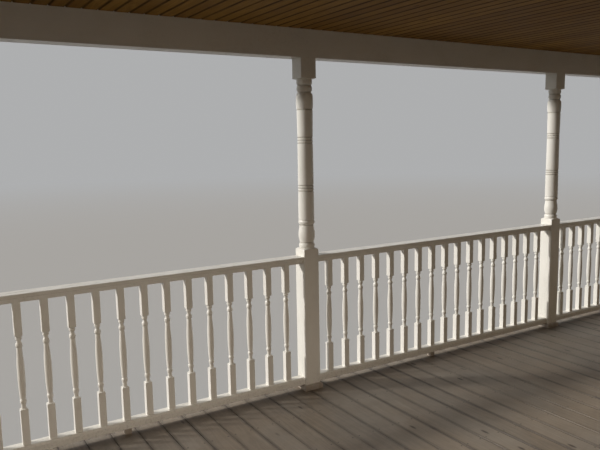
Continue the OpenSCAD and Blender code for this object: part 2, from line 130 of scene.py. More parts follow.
class Value:
    """A socket of a node tree. Arithmetic on it adds Math nodes."""

    def __init__(self, tree, socket):
        self.tree = tree
        self.socket = socket

    def calculate(self, operation, *values):
        return self.tree.node("ShaderNodeMath", {"operation": operation}, dict(enumerate(values)))

    def __add__(self, other):
        return self.calculate("ADD", self, other)

    def __sub__(self, other):
        return self.calculate("SUBTRACT", self, other)

    def __rsub__(self, other):
        return self.calculate("SUBTRACT", other, self)

    def __mul__(self, other):
        return self.calculate("MULTIPLY", self, other)

    def __truediv__(self, other):
        return self.calculate("DIVIDE", self, other)

    __radd__ = __add__
    __rmul__ = __mul__

    def floor(self):
        return self.calculate("FLOOR", self)

    def fraction(self):
        return self.calculate("FRACT", self)

    def size(self):
        return self.calculate("ABSOLUTE", self)

    def sine(self):
        return self.calculate("SINE", self)

    def least(self, other):
        return self.calculate("MINIMUM", self, other)

    def most(self, other):
        return self.calculate("MAXIMUM", self, other)

    def step(self, low, high):
        """0 below low, 1 above high, smooth between them; low may be the larger."""
        return self.tree.node(
            "ShaderNodeMapRange", {"interpolation_type": "SMOOTHSTEP"},
            {"Value": self, "From Min": low, "From Max": high}, "Result")


class Tree:
    """A node tree with one way to add a node."""

    def __init__(self, tree):
        self.tree = tree

    def node(self, kind, settings=None, sockets=None, out=0):
        """Adds one node: its settings first, then values or links to its sockets."""
        made = self.tree.nodes.new(kind)
        for key, value in (settings or {}).items():
            setattr(made, key, value)
        for key, value in (sockets or {}).items():
            self.feed(made.inputs[key], value)
        return Value(self, made.outputs[out]) if made.outputs else None

    def feed(self, socket, value):
        if isinstance(value, Value):
            self.tree.links.new(value.socket, socket)
        else:
            socket.default_value = value

    def parts(self, vector):
        """X, Y and Z of a vector."""
        split = self.node("ShaderNodeSeparateXYZ", sockets={0: vector})
        outputs = split.socket.node.outputs
        return [Value(self, outputs[axis]) for axis in range(3)]

    def mix(self, share, first, second):
        """Colour first where share is 0 and second where it is 1."""
        first, second = (c if isinstance(c, Value) else rgba(c) for c in (first, second))
        return self.node("ShaderNodeMix", {"data_type": "RGBA"}, {0: share, 6: first, 7: second}, 2)

    def seen(self):
        """1 for what the camera and reflections see, 0 for light on the porch."""
        camera = self.node("ShaderNodeLightPath", out="Is Camera Ray")
        return camera.most(self.node("ShaderNodeLightPath", out="Is Glossy Ray"))


class Finish(Tree):
    """A material built from the maker's own words for grain, wear and dirt."""

    def __init__(self, name):
        self.material = bpy.data.materials.new(name)
        self.material.use_nodes = True
        super().__init__(self.material.node_tree)
        self.shader = self.tree.nodes["Principled BSDF"]
        self.place = self.node("ShaderNodeTexCoord", out="Object")

    def vector(self, x, y, z):
        return self.node("ShaderNodeCombineXYZ", sockets={0: x, 1: y, 2: z})

    def stretched(self, factors):
        return self.node("ShaderNodeVectorMath", {"operation": "MULTIPLY"},
                         {0: self.place, 1: factors})

    def noise(self, scale, vector=None, detail=4.0, rough=0.55, twist=0.0):
        return self.node("ShaderNodeTexNoise", None, {
            "Vector": vector or self.place, "Scale": scale, "Detail": detail,
            "Roughness": rough, "Distortion": twist}, "Fac")

    def cells(self, scale, vector=None, out="Distance"):
        return self.node("ShaderNodeTexVoronoi", None,
                         {"Vector": vector or self.place, "Scale": scale}, out)

    def random(self, number, other):
        """A random number for each pair of whole numbers."""
        return self.node("ShaderNodeTexWhiteNoise", {"noise_dimensions": "2D"},
                         {"Vector": self.vector(number, other, 0.0)}, "Value")

    def shaded(self, colour, amount):
        """A colour made lighter or darker by a value near 1."""
        return self.node("ShaderNodeVectorMath", {"operation": "SCALE"},
                         {0: colour, "Scale": amount})

    def bump(self, height, depth, strength):
        """Relief of that depth in metres."""
        return self.node("ShaderNodeBump", None,
                         {"Height": height, "Distance": depth, "Strength": strength}, "Normal")

    def finish(self, colour, roughness, normal=None, **constants):
        self.feed(self.shader.inputs["Base Color"], colour)
        self.feed(self.shader.inputs["Roughness"], roughness)
        if normal is not None:
            self.feed(self.shader.inputs["Normal"], normal)
        for name, value in constants.items():
            self.shader.inputs[name.replace("_", " ")].default_value = value
        return self.material


# Finishes

WHITE = (0.82, 0.80, 0.75)
WHITE_DULL = (0.70, 0.675, 0.61)
GRIME_AND_SHADE = (0.24, 0.205, 0.15)
SPLASHED_AND_SHADED = (0.20, 0.145, 0.10)
BARE_WOOD = (0.36, 0.28, 0.20)

STAIN_LIGHT = (0.30, 0.235, 0.165)
STAIN_DARK = (0.16, 0.12, 0.082)
STAIN_OLD = (0.21, 0.175, 0.138)
STAIN_TRODDEN = (0.25, 0.235, 0.21)
STAIN_RUBBED = (0.37, 0.325, 0.26)
STAINED_KNOT = (0.045, 0.03, 0.022)
SEAM_DIRT = (0.055, 0.043, 0.034)
NAIL_HEAD = (0.05, 0.04, 0.035)
RAIL_DIRT_AND_SHADE = (0.075, 0.058, 0.043)

VARNISH_LIGHT = (0.43, 0.240, 0.055)
VARNISH_DARK = (0.22, 0.110, 0.022)
VARNISH_DEEP = (0.21, 0.105, 0.022)
VARNISHED_KNOT = (0.07, 0.03, 0.01)
JOINT_DIRT = (0.022, 0.011, 0.004)

TIMBER_LIGHT = (0.58, 0.42, 0.25)
TIMBER_DARK = (0.42, 0.28, 0.15)
TIMBER_KNOT = (0.15, 0.08, 0.04)
TIMBER_GREY = (0.33, 0.30, 0.26)

GRIT_DARK = (0.062, 0.056, 0.052)
GRIT_LIGHT = (0.22, 0.20, 0.178)
GRIT_BROWN = (0.062, 0.050, 0.042)
LAP_SHADE = (0.028, 0.026, 0.024)
RAIN_STREAK = (0.045, 0.045, 0.042)

CONCRETE_LIGHT = (0.47, 0.455, 0.42)
CONCRETE_DARK = (0.35, 0.335, 0.305)
CONCRETE_DAMP = (0.17, 0.155, 0.125)
AIR_HOLE = (0.13, 0.12, 0.11)

# Nails of the floor: from the middle of a board, as a share of its width, and their radius
# without and with the dark rim
NAIL_AWAY = 0.34
NAIL_RADIUS = 0.0035
NAIL_RIM = 0.0055

# How far dirt and painted shade reach: dust, and splashed water with painted shade, up from the
# floor, dirt to each side of a seam of the floor and a joint of the ceiling, and dirt with painted
# shade in from the railing
DUST_HEIGHT = 0.16
SPLASH_AND_SHADE_HEIGHT = 0.044
SEAM_REACH = 0.023
JOINT_REACH = 0.015
RAIL_REACH = 0.26


def along_grain(axis, across, along):
    """Stretch factors for a pattern that runs along one axis."""
    return [along if k == "xyz".index(axis) else across for k in range(3)]


def white_paint(name, axis, seams=(), half_seam=0.0028):
    """Gloss paint on softwood, some years old: faint grain, dust, a few worn spots.

    Seams are the heights of grooves and joints, darkened as painted shade, half_seam to each side.
    Water splashed off the floor has browned the lowest few centimetres; painted shade darkens them
    too.
    """
    f = Finish(name)
    height = f.parts(f.place)[2]
    above = height - floor_top
    facing = f.parts(f.node("ShaderNodeTexCoord", out="Normal"))[2]
    grain = f.noise(1.0, f.stretched(along_grain(axis, 95, 4)), 5, 0.6, 0.4)
    brush = f.noise(1.0, f.stretched(along_grain(axis, 420, 9)), 3, 0.5)
    patches = f.noise(3.1, detail=5, rough=0.6)
    specks = f.noise(75.0, detail=3, rough=0.7)
    smears = f.noise(1.0, f.stretched(along_grain(axis, 46, 11)), 5, 0.65)
    low = above.step(DUST_HEIGHT, -0.02) * above.step(-0.5, 0.0)
    # Splashed dirt and painted shade on the lowest few centimetres.
    splash_and_shade = above.step(SPLASH_AND_SHADE_HEIGHT, 0.030) * above.step(-0.010, -0.004)
    splash_and_shade = splash_and_shade * (smears * 0.6 + 0.55).least(1.0)
    level = facing.step(0.55, 0.95)
    dust_and_seam_shade = specks.step(0.46, 0.70) * (patches.step(0.40, 0.70) * 0.20 + low * 0.5)
    dust_and_seam_shade = dust_and_seam_shade + level * smears.step(0.42, 0.68) * 0.5
    # Painted shade at the seam heights: in the grooves and under the cap's nosing.
    seam_darkening = smears * 0.8 + 0.35
    for seam in seams:
        dust_and_seam_shade = dust_and_seam_shade + (height - seam).size().step(half_seam, half_seam * 0.4) * seam_darkening
    worn = f.noise(9.0, detail=8, rough=0.74).step(0.715, 0.735) * grain.step(0.50, 0.56)
    colour = f.mix(patches.step(0.3, 0.8) * 0.45 + low * 0.3, WHITE, WHITE_DULL)
    # Dust and the painted seam shade darken the paint.
    colour = f.mix(dust_and_seam_shade.least(1.0) * 0.62, colour, GRIME_AND_SHADE)
    colour = f.mix(splash_and_shade * 0.88, colour, SPLASHED_AND_SHADED)
    colour = f.shaded(colour, grain * 0.07 + 0.965)
    colour = f.mix(worn * 0.8, colour, BARE_WOOD)
    relief = grain * 0.6 + brush * 0.35 - worn * 1.2
    return f.finish(colour, patches * 0.14 + dust_and_seam_shade * 0.25 + worn * 0.3 + 0.25,
                    f.bump(relief, 0.0012, 0.5), Specular_IOR_Level=0.45)


def wood_figure(f, across, along, seed):
    """Plain-sawn figure: broad bands, fine streaks and a few knots, each from 0 to 1."""
    lines = f.vector(across, along * 0.075, seed)
    bands = (f.noise(16.0, lines, 3, 0.5, 0.5) * 44.0).sine() * 0.5 + 0.5
    streaks = f.noise(1.0, f.vector(across * 430.0, along * 5.0, seed * 3.0), 4, 0.65)
    spots = f.vector(across * 13.0, along * 4.5, seed * 5.0)
    chosen = f.parts(f.cells(1.0, spots, "Color"))[0].step(0.60, 0.62)
    knots = f.cells(1.0, spots).step(0.17, 0.07) * chosen
    return bands, streaks, knots


def floor_stain():
    """Grey-tan stain on softwood boards, dulled by feet and weather, with nail heads.

    Dirt lies in the seams, in each as much as chance gives it; along the railing lie dirt and
    painted shade.
    """
    f = Finish("floor_stain")
    x, y = f.parts(f.place)[:2]
    boards = (x - FLOOR_SEAM) / FLOOR_BOARD
    tone = f.random(boards.floor(), 0.0)
    bands, streaks, knots = wood_figure(f, x, y, tone * 23.0)
    traffic = f.noise(1.1, detail=5, rough=0.6)
    blotches = f.noise(7.0, detail=6, rough=0.7)
    rubbed = f.noise(1.0, f.vector(x * 26.0, y * 1.7, tone * 9.0), 5, 0.6)
    colour = f.mix(bands * 0.4 + streaks * 0.4, STAIN_LIGHT, STAIN_DARK)
    colour = f.mix(tone * 0.6, colour, STAIN_OLD)
    colour = f.mix(traffic.step(0.38, 0.72) * 0.55, colour, STAIN_TRODDEN)
    colour = f.mix(rubbed.step(0.56, 0.74) * 0.35, colour, STAIN_RUBBED)
    colour = f.shaded(colour, blotches * 0.6 + tone * 0.3 + 0.58)
    colour = f.mix(knots * 0.85, colour, STAINED_KNOT)

    across = (boards.fraction() - 0.5).size()
    from_seam = (0.5 - across) * FLOOR_BOARD
    dirt = f.random((boards + 0.5).floor(), 6.0) * 0.55 + 0.45
    colour = f.mix(from_seam.step(SEAM_REACH, 0.0020) * dirt * 0.75, colour, SEAM_DIRT)

    nail_x = (across - NAIL_AWAY) * FLOOR_BOARD
    nail_y = (((y - girder_low.y) / joist_gap + 0.5).fraction() - 0.5) * joist_gap
    nails = (nail_x * nail_x + nail_y * nail_y).step(NAIL_RIM ** 2, NAIL_RADIUS ** 2)
    colour = f.mix(nails * 0.85, colour, NAIL_HEAD)

    # Dirt and painted shade on the floor along the railing.
    inside = y - middle_of("post_2").y
    beside = inside.step(0.0, 0.05) * inside.step(RAIL_REACH, 0.06)
    colour = f.mix(beside * blotches.step(0.30, 0.62) * 0.4, colour, RAIL_DIRT_AND_SHADE)
    grit = f.noise(210.0, detail=2)
    relief = streaks * 0.5 + bands * 0.3 - nails * 0.8 + grit * 0.2
    return f.finish(colour, traffic * 0.20 + streaks * 0.10 + tone * 0.12 + 0.34,
                    f.bump(relief, 0.0012, 0.5), Specular_IOR_Level=0.5)


def ceiling_varnish():
    """Honey-brown varnish on narrow tongue-and-groove boards, dark in the joints."""
    f = Finish("ceiling_varnish")
    x, y = f.parts(f.place)[:2]
    boards = (x - ceiling_low.x) / ceiling_pitch
    tone = f.random(boards.floor(), 4.0)
    bands, streaks, knots = wood_figure(f, x, y, tone * 31.0)
    colour = f.mix(bands * 0.4 + streaks * 0.5, VARNISH_LIGHT, VARNISH_DARK)
    colour = f.mix(tone.step(0.25, 1.0) * 0.8, colour, VARNISH_DEEP)
    colour = f.mix(knots * 0.8, colour, VARNISHED_KNOT)
    aged = f.noise(1.7, detail=4)
    colour = f.shaded(colour, aged * 0.5 + 0.72)
    from_joint = (0.5 - (boards.fraction() - 0.5).size()) * ceiling_pitch
    seam_darkening = f.noise(1.0, f.vector((boards + 0.5).floor() * 3.7, y * 2.3, 0.0), 3)
    dark = from_joint.step(JOINT_REACH, 0.0045) * (seam_darkening * 0.9 + 0.35).least(1.0)
    colour = f.mix(dark * 0.82, colour, JOINT_DIRT)
    return f.finish(colour, aged * 0.12 + streaks * 0.10 + 0.50,
                    f.bump(streaks * 0.5 + bands * 0.25, 0.0006, 0.5), Specular_IOR_Level=0.06)


def sawn_timber(name, axis):
    """Bare sawn softwood along one axis, a little grey with age."""
    f = Finish(name)
    across = f.parts(f.place)
    along = across.pop("xyz".index(axis))
    tone = f.random(((across[0] + across[1]) * 3.1).floor(), 2.0)
    bands, streaks, knots = wood_figure(f, across[0] + across[1] * 0.9, along, tone * 17.0)
    grey = f.noise(1.4, detail=4)
    colour = f.mix(bands * 0.5 + streaks * 0.4, TIMBER_LIGHT, TIMBER_DARK)
    colour = f.mix(knots * 0.8, colour, TIMBER_KNOT)
    colour = f.mix(grey.step(0.42, 0.75) * 0.45, colour, TIMBER_GREY)
    colour = f.shaded(colour, tone * 0.2 + 0.9)
    saw = f.noise(1.0, f.stretched(along_grain(axis, 30, 520)), 2)
    return f.finish(colour, streaks * 0.15 + 0.62,
                    f.bump(streaks * 0.5 + saw * 0.4, 0.0012, 0.5))


def shingle_grit():
    """Mineral granules on the shingles, each tab a shade of its own."""
    f = Finish("shingle_grit")
    x, y = f.parts(f.place)[:2]
    down = (y - roof_low.y) * (1 / math.cos(ROOF_SLOPE))
    course = (down / SHINGLE_SHOWN).floor()
    tab = ((x - roof_low.x) / TAB_WIDTH + course * 0.5).floor()
    tone = f.random(tab, course)
    grain = f.node("ShaderNodeSeparateColor", sockets={0: f.cells(420.0, out="Color")})
    blotch = f.noise(5.0, detail=4)
    colour = f.mix(grain.step(0.2, 0.95), GRIT_DARK, GRIT_LIGHT)
    colour = f.mix(tone.step(0.55, 1.0) * 0.7, colour, GRIT_BROWN)
    colour = f.shaded(colour, blotch * 0.35 + tone * 0.55 + 0.52)
    lap = (down / SHINGLE_SHOWN).fraction()
    colour = f.mix(lap.step(0.86, 0.99) * 0.65, colour, LAP_SHADE)
    streak = f.noise(1.0, f.stretched((3.0, 0.35, 1.0)), 4).step(0.55, 0.8)
    colour = f.mix(streak * 0.35, colour, RAIN_STREAK)
    return f.finish(colour, 0.9, f.bump(grain, 0.0012, 0.8), Specular_IOR_Level=0.25)


def cast_concrete():
    """Plain cast piers with air holes, damp at the foot."""
    f = Finish("cast_concrete")
    height = f.parts(f.place)[2]
    cloud = f.noise(6.0, detail=7, rough=0.62)
    sand = f.noise(240.0, detail=2)
    holes = f.cells(46.0).step(0.16, 0.09) * f.noise(9.0).step(0.5, 0.62)
    damp = height.step(0.16, 0.0) * (cloud * 0.8 + 0.4)
    colour = f.mix(cloud.step(0.3, 0.75), CONCRETE_LIGHT, CONCRETE_DARK)
    colour = f.mix(damp * 0.6, colour, CONCRETE_DAMP)
    colour = f.mix(holes * 0.6, colour, AIR_HOLE)
    colour = f.shaded(colour, sand * 0.2 + 0.9)
    return f.finish(colour, cloud * 0.1 + 0.82,
                    f.bump(sand * 0.3 + cloud * 0.5 - holes * 1.5, 0.0025, 0.6))


# Making of pieces

def put_in_scene(name, data):
    """An object for a mesh, a lamp or the camera."""
    made = bpy.data.objects.new(name, data)
    bpy.context.scene.collection.objects.link(made)
    return made


def as_mesh(mesh, name):
    """Turns a bmesh into a mesh of Blender's own."""
    data = bpy.data.meshes.new(name)
    mesh.to_mesh(data)
    mesh.free()
    return data


def new_piece(name, mesh, material, slot, *nodes):
    """Turns a bmesh into a finished piece that stands for CAD nodes."""
    piece = put_in_scene(name, as_mesh(mesh, name))
    piece.data.materials.append(material)
    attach(piece, "root")
    if nodes:
        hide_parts(*nodes)
    return piece


def dress(material, *names):
    """Gives CAD nodes their finish."""
    for name in names:
        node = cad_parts[name]
        node.data.materials.clear()
        node.data.materials.append(material)


def near(value, target):
    return abs(value - target) < 1e-5


def all_of(mesh):
    return mesh.verts[:] + mesh.edges[:] + mesh.faces[:]


def add_block(mesh, low, high):
    """A block from corner to corner; gives its vertices."""
    size = Vector(high) - Vector(low)
    middle = (Vector(high) + Vector(low)) / 2
    place = Matrix.Translation(middle) @ Matrix.Diagonal((*size, 1.0))
    return bmesh.ops.create_cube(mesh, size=1.0, matrix=place)["verts"]


def edges_where(verts, test):
    """Edges between the given vertices whose two ends pass the test."""
    found = dict.fromkeys(edge for vert in verts for edge in vert.link_edges)
    return [edge for edge in found if all(test(end.co) for end in edge.verts)]


def round_edges(mesh, edges, width, segments=2):
    bmesh.ops.bevel(mesh, geom=edges, offset=width, offset_type="OFFSET", segments=segments,
                    profile=0.5, affect="EDGES", clamp_overlap=True, material=-1)


def saw(mesh, place, outward):
    """Cuts off what stands beyond a plane and closes the cut."""
    bmesh.ops.bisect_plane(mesh, geom=all_of(mesh), dist=1e-6, plane_co=place,
                           plane_no=outward, clear_outer=True)
    bmesh.ops.holes_fill(mesh, edges=[e for e in mesh.edges if e.is_boundary])


def add_copy(mesh, pattern, place):
    """Adds a copy of a pattern's mesh at a place, to a mesh that has lost no vertex yet."""
    first = len(mesh.verts)
    mesh.from_mesh(pattern)
    mesh.verts.ensure_lookup_table()
    bmesh.ops.translate(mesh, verts=mesh.verts[first:], vec=place)


# Turned work, with the members of the posts and balusters from the foot up

def swell(low, high, r, out, steps=6):
    """Half an ellipse that swells from radius r, or sinks for a cove."""
    return [(r + out * math.sin(math.pi * k / steps),
             low + (high - low) * (1 - math.cos(math.pi * k / steps)) / 2)
            for k in range(steps + 1)]


def vase(low, high, foot, full, neck, full_from, full_to, steps=12):
    """Rises from its foot, stays full between two shares of its height, draws in to its neck."""
    points = []
    for k in range(steps + 1):
        t = k / steps
        if t < full_from:
            r = foot + (full - foot) * math.sin(math.pi / 2 * t / full_from)
        else:
            turn = math.cos(math.pi * max(0.0, t - full_to) / (1 - full_to))
            r = neck + (full - neck) * (1 + turn) / 2
        points.append((r, low + (high - low) * t))
    return points


def groove(z, r):
    return [(r, z - GROOVE_WIDTH / 2), (r - GROOVE_DEPTH, z), (r, z + GROOVE_WIDTH / 2)]


def groove_group(z, r):
    return [point for k in (-1, 0, 1) for point in groove(z + k * GROOVE_PITCH, r)]


def shoulder(z, length, corner, r, steps=6):
    """The quarter turn that the lathe leaves between a square end and the round."""
    return [(r + (corner - r) * math.cos(math.pi / 2 * k / steps),
             z + length * math.sin(math.pi / 2 * k / steps)) for k in range(steps + 1)]


def upside_down(points, top):
    return [(r, top - z) for r, z in reversed(points)]


def post_heights():
    """Ends of a post's round part, and of its shaft between the turned members."""
    low, high = 0.918, post_height - 0.114
    return low, high, low + 0.204, high - 0.199


def post_outline():
    corner = POST_SIDE * CORNER_REACH
    low, high, shaft_low, shaft_high = post_heights()
    lower, upper = (shaft_low + (shaft_high - shaft_low) * place for place in GROOVE_PLACES)
    return ([(0, 0), (corner, 0), (corner, low)]
            + shoulder(low, 0.020, corner, 0.0465)
            # Bead, cove, bulb, cove and bead
            + swell(low + 0.022, low + 0.050, 0.0465, 0.0045)
            + swell(low + 0.052, low + 0.062, 0.0465, -0.0035, 4)
            + vase(low + 0.064, low + 0.162, 0.0465, 0.0530, 0.0470, 0.40, 0.50)
            + swell(low + 0.164, low + 0.174, 0.0465, -0.003, 4)
            + swell(low + 0.176, low + 0.200, 0.047, 0.006)
            # The shaft with its grooves
            + [(0.051, shaft_low)]
            + groove_group(lower, 0.050)
            + groove_group(upper, 0.049)
            + groove(shaft_high, 0.051)
            # Long swell, fillet, cove, bead, cove and bead
            + swell(high - 0.190, high - 0.108, 0.051, 0.003, 8)
            + [(0.0505, high - 0.107), (0.0505, high - 0.101)]
            + swell(high - 0.100, high - 0.086, 0.0465, -0.0035, 4)
            + swell(high - 0.085, high - 0.057, 0.0465, 0.0025)
            + swell(high - 0.056, high - 0.045, 0.047, -0.0035, 4)
            + swell(high - 0.044, high - 0.013, 0.047, 0.0025)
            + upside_down(shoulder(0, 0.012, corner, 0.047), high)
            + [(corner, high), (corner, post_height), (0, post_height)])


def post_seams():
    """Heights of a post's grooves and coves over the floor, which get painted shade."""
    low, high, shaft_low, shaft_high = post_heights()
    groups = [shaft_low + (shaft_high - shaft_low) * place + k * GROOVE_PITCH
              for place in GROOVE_PLACES for k in (-1, 0, 1)]
    return groups + [low + 0.057, low + 0.169, shaft_high, high - 0.093, high - 0.050]


def baluster_outline(height):
    corner = BALUSTER_SIDE * CORNER_REACH
    low, high = 0.185, height - 0.173
    return ([(0, 0), (corner, 0), (corner, low)]
            + shoulder(low, 0.010, corner, 0.0125, 3)
            # Neck and bead
            + [(0.0122, low + 0.022), (0.0128, low + 0.034)]
            + swell(low + 0.036, low + 0.060, 0.013, 0.0038, 4)
            # Vase
            + [(0.0128, low + 0.064)]
            + vase(low + 0.066, high - 0.072, 0.0150, 0.019, 0.0140, 0.40, 0.60, 10)
            # Bead, neck and bead
            + swell(high - 0.069, high - 0.042, 0.013, 0.0045, 4)
            + [(0.0112, high - 0.034)]
            + swell(high - 0.027, high - 0.010, 0.013, 0.004, 4)
            + upside_down(shoulder(0, 0.008, corner, 0.0125, 3), high)
            + [(corner, high), (corner, height), (0, height)])


def turn_timber(outline, side, facets, ease):
    """Spins an outline round Z, keeps it within the square timber, eases the square's edges."""
    mesh = bmesh.new()
    verts = [mesh.verts.new((r, 0, z)) for r, z in outline]
    edges = [mesh.edges.new(pair) for pair in zip(verts, verts[1:])]
    bmesh.ops.spin(mesh, geom=verts + edges, cent=(0, 0, 0), axis=(0, 0, 1), dvec=(0, 0, 0),
                   angle=math.tau, steps=facets, use_merge=True, use_duplicate=False)
    bmesh.ops.remove_doubles(mesh, verts=mesh.verts[:], dist=1e-6)
    half = side / 2
    for vert in mesh.verts:
        reach = max(abs(vert.co.x), abs(vert.co.y))
        if reach > half:
            vert.co.x *= half / reach
            vert.co.y *= half / reach
    bmesh.ops.recalc_face_normals(mesh, faces=mesh.faces[:])

    def at_corner(vert):
        return near(abs(vert.co.x), half) and near(abs(vert.co.y), half)

    corners = [e for e in mesh.edges if all(at_corner(v) for v in e.verts)
               and abs(e.verts[0].co.z - e.verts[1].co.z) > 2 * ease]
    round_edges(mesh, corners, ease, 1)
    return mesh


def smooth_turning(piece):
    """Smooth round work with crisp arrises."""
    piece.data.shade_smooth()
    piece.data.set_sharp_from_angle(angle=SHARP_ANGLE)


def post_patterns(at_wall):
    """A turned post and the moulding round its foot, whole or split for the wall."""
    turned = turn_timber(post_outline(), POST_SIDE, POST_FACETS, POST_ARRIS)
    out = POST_SIDE / 2 + FOOT_OUT
    foot = bmesh.new()
    block = add_block(foot, (-out, -out, 0), (out, out, FOOT_HEIGHT))
    round_edges(foot, edges_where(block, lambda co: near(co.z, FOOT_HEIGHT)), FOOT_OUT * 0.98, 6)
    if at_wall:
        saw(turned, (0, 0, 0), (0, 1, 0))
        saw(foot, (0, -WALL_CLEARANCE, 0), (0, 1, 0))
    return [as_mesh(turned, "post_pattern"), as_mesh(foot, "foot_pattern")]


def make_posts(material):
    """Eight turned posts on their feet; the two at the wall are split down the middle."""
    whole, split = post_patterns(False), post_patterns(True)
    for name in ["post_1", "post_2", "post_3", "post_4", "left_side_post", "right_side_post",
                 "left_wall_post", "right_wall_post"]:
        at_wall = "wall" in name
        place = middle_of(name)
        place.z = floor_top
        if at_wall:
            place.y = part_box(name)[1].y
        mesh = bmesh.new()
        for pattern in split if at_wall else whole:
            add_copy(mesh, pattern, place)
        smooth_turning(new_piece("turned_" + name, mesh, material, "white_paint", name))
    for pattern in whole + split:
        bpy.data.meshes.remove(pattern)


def side_rows(first, last):
    """First and last baluster of the two bays on a side, alike on both sides of its post."""
    rail_low, rail_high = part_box("left_bottom_rails")
    bay = (rail_high.y - rail_low.y - POST_SIDE) / 2
    length = bay - 2 * (first - rail_low.y)
    return [(first, first + length), (last - length, last)]


def make_balusters(material):
    """Rows of turned balusters between the rails, at equal gaps."""
    low_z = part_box("bottom_rail_1")[1].z
    high_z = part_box("balusters_1")[1].z
    pattern = as_mesh(turn_timber(baluster_outline(high_z - low_z), BALUSTER_SIDE,
                                  BALUSTER_FACETS, BALUSTER_ARRIS), "baluster_pattern")
    half = BALUSTER_SIDE / 2
    for name in ["balusters_1", "balusters_2", "balusters_3", "left_balusters",
                 "right_balusters"]:
        low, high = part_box(name)
        spot = middle_of(name)
        spot.z = low_z
        if name.startswith("balusters"):
            axis, count, rows = 0, FRONT_BALUSTERS, [(low.x + half, high.x - half)]
        else:
            axis, count, rows = 1, SIDE_BALUSTERS, side_rows(low.y + half, high.y - half)
        mesh = bmesh.new()
        for first, last in rows:
            for k in range(count):
                spot[axis] = first + (last - first) * k / (count - 1)
                add_copy(mesh, pattern, spot)
        smooth_turning(new_piece("turned_" + name, mesh, material, "white_paint", name))
    bpy.data.meshes.remove(pattern)


# Floor, ceiling, roof, piers and gables

def make_floor_boards(material):
    """Deck boards from the house to a rounded nosing in front."""
    mesh = bmesh.new()
    seam = FLOOR_SEAM - math.ceil((FLOOR_SEAM - floor_low.x) / FLOOR_BOARD) * FLOOR_BOARD
    while seam < floor_high.x:
        left = max(seam + FLOOR_GAP / 2, floor_low.x)
        right = min(seam + FLOOR_BOARD - FLOOR_GAP / 2, floor_high.x)
        seam += FLOOR_BOARD
        top = floor_high.z - random.uniform(0, FLOOR_UNEVEN)
        if right - left < NARROWEST_BOARD:
            continue
        verts = add_block(mesh, (left, floor_low.y, floor_low.z), (right, floor_high.y, top))
        long_edges = [e for e in edges_where(verts, lambda co: near(co.z, top))
                      if not near(e.verts[0].co.y, e.verts[1].co.y)]
        nose = [e for e in edges_where(verts, lambda co: near(co.y, floor_low.y))
                if near(e.verts[0].co.z, e.verts[1].co.z)]
        round_edges(mesh, long_edges, FLOOR_ARRIS)
        round_edges(mesh, [e for e in nose if e.is_valid], FLOOR_NOSING, 3)
    new_piece("floor_boards", mesh, material, "floor_boards", "floor")


def make_ceiling_boards(material):
    """Tongue-and-groove boards with a V joint between them."""
    mesh = bmesh.new()
    bottom = ceiling_low.z
    for k in range(ceiling_count):
        left = ceiling_low.x + k * ceiling_pitch
        verts = add_block(mesh, (left, ceiling_low.y, bottom),
                          (left + ceiling_pitch, ceiling_high.y, ceiling_high.z))
        lower = [e for e in edges_where(verts, lambda co: near(co.z, bottom))
                 if near(e.verts[0].co.x, e.verts[1].co.x)]
        round_edges(mesh, lower, CEILING_BEVEL, 1)
    new_piece("ceiling_boards", mesh, material, "ceiling_boards", "ceiling")


def on_roof(x, down, off):
    """A place on the roof: along the slope from the front edge, off the rafters' top."""
    base = Vector((0, roof_low.y, roof_low.z))
    return Vector((x, 0, 0)) + base + UP_SLOPE * down + OFF_SLOPE * off


def slope_block(mesh, left, right, from_down, to_down, off, thick, fall=0.0):
    """A board on the slope, its underside off the rafters; fall lowers its upper end."""
    length = to_down - from_down
    tilt = math.atan2(fall, length)
    middle = on_roof((left + right) / 2, (from_down + to_down) / 2, off + thick / 2 - fall / 2)
    place = (Matrix.Translation(middle) @ Matrix.Rotation(ROOF_SLOPE - tilt, 4, "X")
             @ Matrix.Diagonal((right - left, length, thick, 1.0)))
    bmesh.ops.create_cube(mesh, size=1.0, matrix=place)


def trim_roof_edges(mesh):
    """Cuts the covering plumb at the wall and above the front edge."""
    for vert in mesh.verts:
        vert.co.y = min(max(vert.co.y, roof_low.y), roof_high.y)


def make_roof_boards(material):
    """Sheathing boards across the rafters."""
    mesh = bmesh.new()
    count = round(roof_run / ROOF_BOARD)
    width = roof_run / count
    for k in range(count):
        slope_block(mesh, roof_low.x, roof_high.x, k * width + ROOF_BOARD_ARRIS,
                    (k + 1) * width - ROOF_BOARD_ARRIS, 0, ROOF_BOARD_THICK)
    trim_roof_edges(mesh)
    new_piece("roof_boards", mesh, material, "raw_timber")


def make_shingles(material):
    """Courses of tabs, each lapped over the one below and shifted by half a tab."""
    mesh = bmesh.new()
    for course in range(math.ceil(roof_run / SHINGLE_SHOWN)):
        start = course * SHINGLE_SHOWN
        end = min(start + 2 * SHINGLE_SHOWN, roof_run)
        fall = (end - start) * SHINGLE_THICK / SHINGLE_SHOWN
        left = roof_low.x - 0.5 * (course % 2) * TAB_WIDTH
        while left < roof_high.x:
            from_x = max(left + TAB_SLOT / 2, roof_low.x)
            to_x = min(left + TAB_WIDTH - TAB_SLOT / 2, roof_high.x)
            if to_x - from_x > TAB_SLOT:
                lift = random.uniform(0, SHINGLE_UNEVEN)
                slope_block(mesh, from_x, to_x, start + random.uniform(0, COURSE_UNEVEN), end,
                            ROOF_THICK - lift - SHINGLE_THICK, SHINGLE_THICK, fall)
            left += TAB_WIDTH
    trim_roof_edges(mesh)
    new_piece("roof_shingles", mesh, material, "roof_covering", "roof")


def make_piers(material):
    """Twelve cast piers with eased arrises, under the posts and girders."""
    low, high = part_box("piers")
    half = PIER_SIDE / 2
    rows = [low.y + half, middle_of("left_side_post").y, high.y - half]
    lines = [low.x + half, middle_of("post_2").x, middle_of("post_3").x, high.x - half]
    mesh = bmesh.new()
    for x in lines:
        for y in rows:
            verts = add_block(mesh, (x - half, y - half, low.z), (x + half, y + half, high.z))
            round_edges(mesh, edges_where(verts, lambda co: True), PIER_ARRIS)
    new_piece("cast_piers", mesh, material, "concrete", "piers")


